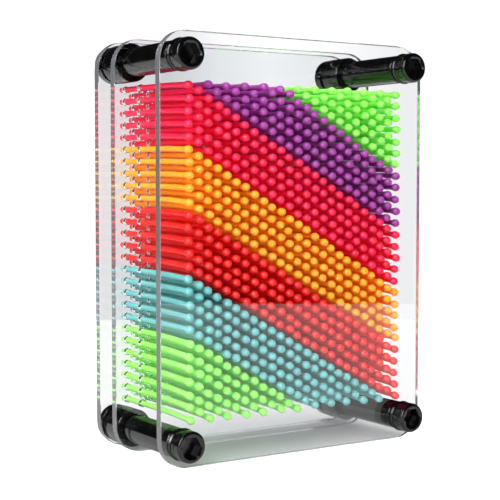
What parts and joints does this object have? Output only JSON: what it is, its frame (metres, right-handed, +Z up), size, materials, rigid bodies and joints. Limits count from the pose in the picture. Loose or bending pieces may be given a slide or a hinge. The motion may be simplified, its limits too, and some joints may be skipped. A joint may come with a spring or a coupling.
{
  "type": "pin art impression toy",
  "caption": "Upright pin art toy: three clear plates on black corner posts, and a diagonally striped field of coloured ball-headed pins that slide to hold the relief of what presses them.",
  "frame": {"origin": "middle of the toy's width and depth, on the surface that the plates' bottom edges stand on", "axes": "+Z up, -Y towards the viewer through the clear cover (pin heads in front), +X to the viewer's right"},
  "size_m": [0.153, 0.0786, 0.2],
  "materials": {
    "clear_acrylic": "clear polished",
    "black_plastic": "gloss",
    "green_plastic": "gloss, slightly translucent",
    "purple_plastic": "gloss, slightly translucent",
    "pink_plastic": "gloss, slightly translucent",
    "yellow_plastic": "gloss, slightly translucent",
    "red_plastic": "gloss, slightly translucent",
    "cyan_plastic": "gloss, slightly translucent"
  },
  "bodies": {
    "frame": {"cover_plate": "clear_acrylic", "front_pin_plate": "clear_acrylic", "rear_pin_plate": "clear_acrylic", "front_bolt_top_left": "black_plastic", "front_bolt_top_right": "black_plastic", "front_bolt_bottom_left": "black_plastic", "front_bolt_bottom_right": "black_plastic", "spacer_tube_top_left": "black_plastic", "spacer_tube_top_right": "black_plastic", "spacer_tube_bottom_left": "black_plastic", "spacer_tube_bottom_right": "black_plastic", "collar_top_left": "black_plastic", "collar_top_right": "black_plastic", "collar_bottom_left": "black_plastic", "collar_bottom_right": "black_plastic", "rear_bolt_top_left": "black_plastic", "rear_bolt_top_right": "black_plastic", "rear_bolt_bottom_left": "black_plastic", "rear_bolt_bottom_right": "black_plastic"},
    "pins_green_upper_1": {"pins_green_upper_1": "green_plastic"},
    "pins_green_upper_2": {"pins_green_upper_2": "green_plastic"},
    "pins_green_upper_3": {"pins_green_upper_3": "green_plastic"},
    "pins_purple_1": {"pins_purple_1": "purple_plastic"},
    "pins_purple_2": {"pins_purple_2": "purple_plastic"},
    "pins_purple_3": {"pins_purple_3": "purple_plastic"},
    "pins_purple_4": {"pins_purple_4": "purple_plastic"},
    "pins_pink_1": {"pins_pink_1": "pink_plastic"},
    "pins_pink_2": {"pins_pink_2": "pink_plastic"},
    "pins_pink_3": {"pins_pink_3": "pink_plastic"},
    "pins_pink_4": {"pins_pink_4": "pink_plastic"},
    "pins_pink_5": {"pins_pink_5": "pink_plastic"},
    "pins_yellow_1": {"pins_yellow_1": "yellow_plastic"},
    "pins_yellow_2": {"pins_yellow_2": "yellow_plastic"},
    "pins_yellow_3": {"pins_yellow_3": "yellow_plastic"},
    "pins_yellow_4": {"pins_yellow_4": "yellow_plastic"},
    "pins_yellow_5": {"pins_yellow_5": "yellow_plastic"},
    "pins_red_1": {"pins_red_1": "red_plastic"},
    "pins_red_2": {"pins_red_2": "red_plastic"},
    "pins_red_3": {"pins_red_3": "red_plastic"},
    "pins_red_4": {"pins_red_4": "red_plastic"},
    "pins_red_5": {"pins_red_5": "red_plastic"},
    "pins_cyan_1": {"pins_cyan_1": "cyan_plastic"},
    "pins_cyan_2": {"pins_cyan_2": "cyan_plastic"},
    "pins_cyan_3": {"pins_cyan_3": "cyan_plastic"},
    "pins_cyan_4": {"pins_cyan_4": "cyan_plastic"},
    "pins_green_lower_1": {"pins_green_lower_1": "green_plastic"},
    "pins_green_lower_2": {"pins_green_lower_2": "green_plastic"},
    "pins_green_lower_3": {"pins_green_lower_3": "green_plastic"}
  },
  "joints": [
    {"name": "pins_green_upper_1_slide", "type": "slide", "parent": "frame", "child": "pins_green_upper_1", "axis": [-0.0129, 0.9999, 0.006], "range_m": [0, 0.0352]},
    {"name": "pins_green_upper_2_slide", "type": "slide", "parent": "frame", "child": "pins_green_upper_2", "axis": [-0.0129, 0.9999, 0.006], "range_m": [0, 0.0352]},
    {"name": "pins_green_upper_3_slide", "type": "slide", "parent": "frame", "child": "pins_green_upper_3", "axis": [-0.0129, 0.9999, 0.006], "range_m": [0, 0.0352]},
    {"name": "pins_purple_1_slide", "type": "slide", "parent": "frame", "child": "pins_purple_1", "axis": [-0.0129, 0.9999, 0.006], "range_m": [0, 0.0352]},
    {"name": "pins_purple_2_slide", "type": "slide", "parent": "frame", "child": "pins_purple_2", "axis": [-0.0129, 0.9999, 0.006], "range_m": [0, 0.0352]},
    {"name": "pins_purple_3_slide", "type": "slide", "parent": "frame", "child": "pins_purple_3", "axis": [-0.0129, 0.9999, 0.006], "range_m": [0, 0.0352]},
    {"name": "pins_purple_4_slide", "type": "slide", "parent": "frame", "child": "pins_purple_4", "axis": [-0.0129, 0.9999, 0.006], "range_m": [0, 0.0352]},
    {"name": "pins_pink_1_slide", "type": "slide", "parent": "frame", "child": "pins_pink_1", "axis": [-0.0129, 0.9999, 0.006], "range_m": [0, 0.0352]},
    {"name": "pins_pink_2_slide", "type": "slide", "parent": "frame", "child": "pins_pink_2", "axis": [-0.0129, 0.9999, 0.006], "range_m": [0, 0.0352]},
    {"name": "pins_pink_3_slide", "type": "slide", "parent": "frame", "child": "pins_pink_3", "axis": [-0.0129, 0.9999, 0.006], "range_m": [0, 0.0352]},
    {"name": "pins_pink_4_slide", "type": "slide", "parent": "frame", "child": "pins_pink_4", "axis": [-0.0129, 0.9999, 0.006], "range_m": [0, 0.0352]},
    {"name": "pins_pink_5_slide", "type": "slide", "parent": "frame", "child": "pins_pink_5", "axis": [-0.0129, 0.9999, 0.006], "range_m": [0, 0.0352]},
    {"name": "pins_yellow_1_slide", "type": "slide", "parent": "frame", "child": "pins_yellow_1", "axis": [-0.0129, 0.9999, 0.006], "range_m": [0, 0.0352]},
    {"name": "pins_yellow_2_slide", "type": "slide", "parent": "frame", "child": "pins_yellow_2", "axis": [-0.0129, 0.9999, 0.006], "range_m": [0, 0.0352]},
    {"name": "pins_yellow_3_slide", "type": "slide", "parent": "frame", "child": "pins_yellow_3", "axis": [-0.0129, 0.9999, 0.006], "range_m": [0, 0.0352]},
    {"name": "pins_yellow_4_slide", "type": "slide", "parent": "frame", "child": "pins_yellow_4", "axis": [-0.0129, 0.9999, 0.006], "range_m": [0, 0.0352]},
    {"name": "pins_yellow_5_slide", "type": "slide", "parent": "frame", "child": "pins_yellow_5", "axis": [-0.0129, 0.9999, 0.006], "range_m": [0, 0.0352]},
    {"name": "pins_red_1_slide", "type": "slide", "parent": "frame", "child": "pins_red_1", "axis": [-0.0129, 0.9999, 0.006], "range_m": [0, 0.0352]},
    {"name": "pins_red_2_slide", "type": "slide", "parent": "frame", "child": "pins_red_2", "axis": [-0.0129, 0.9999, 0.006], "range_m": [0, 0.0352]},
    {"name": "pins_red_3_slide", "type": "slide", "parent": "frame", "child": "pins_red_3", "axis": [-0.0129, 0.9999, 0.006], "range_m": [0, 0.0352]},
    {"name": "pins_red_4_slide", "type": "slide", "parent": "frame", "child": "pins_red_4", "axis": [-0.0129, 0.9999, 0.006], "range_m": [0, 0.0352]},
    {"name": "pins_red_5_slide", "type": "slide", "parent": "frame", "child": "pins_red_5", "axis": [-0.0129, 0.9999, 0.006], "range_m": [0, 0.0352]},
    {"name": "pins_cyan_1_slide", "type": "slide", "parent": "frame", "child": "pins_cyan_1", "axis": [-0.0129, 0.9999, 0.006], "range_m": [0, 0.0352]},
    {"name": "pins_cyan_2_slide", "type": "slide", "parent": "frame", "child": "pins_cyan_2", "axis": [-0.0129, 0.9999, 0.006], "range_m": [0, 0.0352]},
    {"name": "pins_cyan_3_slide", "type": "slide", "parent": "frame", "child": "pins_cyan_3", "axis": [-0.0129, 0.9999, 0.006], "range_m": [0, 0.0352]},
    {"name": "pins_cyan_4_slide", "type": "slide", "parent": "frame", "child": "pins_cyan_4", "axis": [-0.0129, 0.9999, 0.006], "range_m": [0, 0.0352]},
    {"name": "pins_green_lower_1_slide", "type": "slide", "parent": "frame", "child": "pins_green_lower_1", "axis": [-0.0129, 0.9999, 0.006], "range_m": [0, 0.0352]},
    {"name": "pins_green_lower_2_slide", "type": "slide", "parent": "frame", "child": "pins_green_lower_2", "axis": [-0.0129, 0.9999, 0.006], "range_m": [0, 0.0352]},
    {"name": "pins_green_lower_3_slide", "type": "slide", "parent": "frame", "child": "pins_green_lower_3", "axis": [-0.0129, 0.9999, 0.006], "range_m": [0, 0.0352]}
  ]
}
